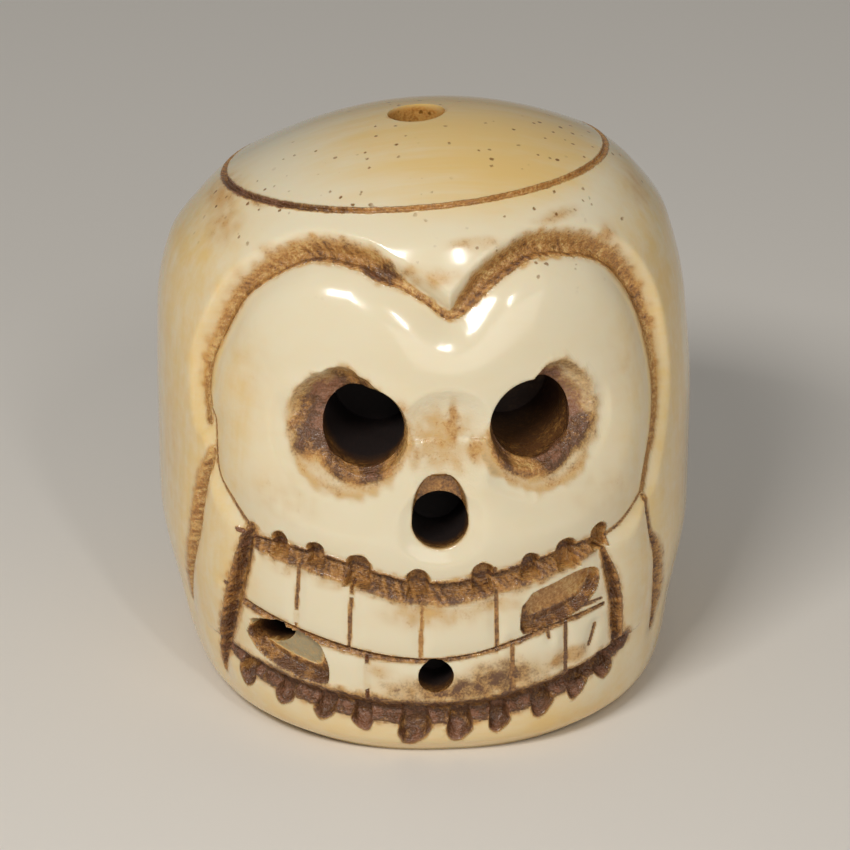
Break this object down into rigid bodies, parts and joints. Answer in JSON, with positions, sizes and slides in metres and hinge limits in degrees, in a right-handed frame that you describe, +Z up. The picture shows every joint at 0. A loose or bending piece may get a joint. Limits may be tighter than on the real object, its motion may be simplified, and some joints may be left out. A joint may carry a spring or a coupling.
{
  "type": "ivory skull carving",
  "caption": "Small carved skull toggle in polished ivory with a cap, heart-shaped face, drilled eyes and nose, bared teeth and an upright cord hole.",
  "frame": {"origin": "middle of the flat underside's box, on the surface that the skull stands on", "axes": "+Z up through the cap, -Y the way the face looks, +X to the viewer's right"},
  "size_m": [0.0322, 0.0324, 0.0344],
  "materials": {
    "ivory": "polished, with brown stain in the cuts"
  },
  "bodies": {
    "root": {"skull_carving": "ivory"}
  },
  "joints": []
}
